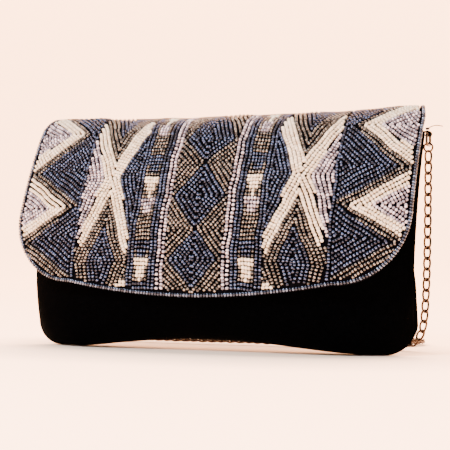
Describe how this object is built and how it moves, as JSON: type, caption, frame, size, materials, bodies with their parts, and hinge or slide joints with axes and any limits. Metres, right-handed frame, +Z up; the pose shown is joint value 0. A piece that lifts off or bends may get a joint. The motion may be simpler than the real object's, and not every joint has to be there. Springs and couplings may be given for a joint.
{
  "type": "clutch purse",
  "caption": "Black velvet clutch purse with a full-width beaded front flap on a top fold, a magnetic snap and a thin metal chain strap.",
  "frame": {"origin": "on the floor, under the middle of the clutch's box without its strap", "axes": "+Z up; the beaded flap faces -Y; +X runs across the width, to the right as the front is seen; the pouch leans back a little"},
  "size_m": [0.271, 0.1548, 0.1554],
  "materials": {
    "velvet": "black cotton velvet with a short soft pile",
    "interlining": "off-white bonded interlining board",
    "lining": "black satin lining",
    "beads": "opaque lustred glass seed beads in navy, bronze, ivory and lilac",
    "edge_beads": "blue-grey metallic glass seed beads",
    "gold": "light rose-gold plated chain",
    "nickel": "plated snap fastener",
    "magnet": "dark ferrite magnet",
    "tape": "black woven stay tape",
    "thread": "brown waxed sewing thread"
  },
  "bodies": {
    "pouch": {"front_panel": "velvet", "back_panel": "velvet", "strap_tab_left": "velvet", "strap_tab_right": "velvet", "mouth_facing_front": "velvet", "mouth_facing_back": "velvet", "front_stiffener": "interlining", "back_stiffener": "interlining", "lining_front": "lining", "lining_back": "lining", "slip_pocket": "lining", "pocket_binding": "tape", "seam_tape_left": "tape", "seam_tape_right": "tape", "seam_tape_bottom": "tape", "snap_socket": "nickel", "snap_magnet": "magnet", "snap_socket_washer": "nickel", "d_ring_left": "gold", "d_ring_right": "gold", "end_link_left": "gold", "end_link_right": "gold", "chain_strap": "gold", "thread_knot_left": "thread", "thread_knot_right": "thread"},
    "flap": {"bead_field": "beads", "flap_edge_beading": "edge_beads", "flap_backing": "tape", "flap_stiffener": "interlining", "flap_lining": "lining", "flap_fold": "velvet", "snap_stud": "nickel", "snap_stud_washer": "nickel"}
  },
  "joints": [
    {"name": "flap_hinge", "type": "hinge", "parent": "pouch", "child": "flap", "pos_m": [0, 0.0386, 0.139], "axis": [-1, 0, 0], "range_deg": [0, 180]}
  ]
}
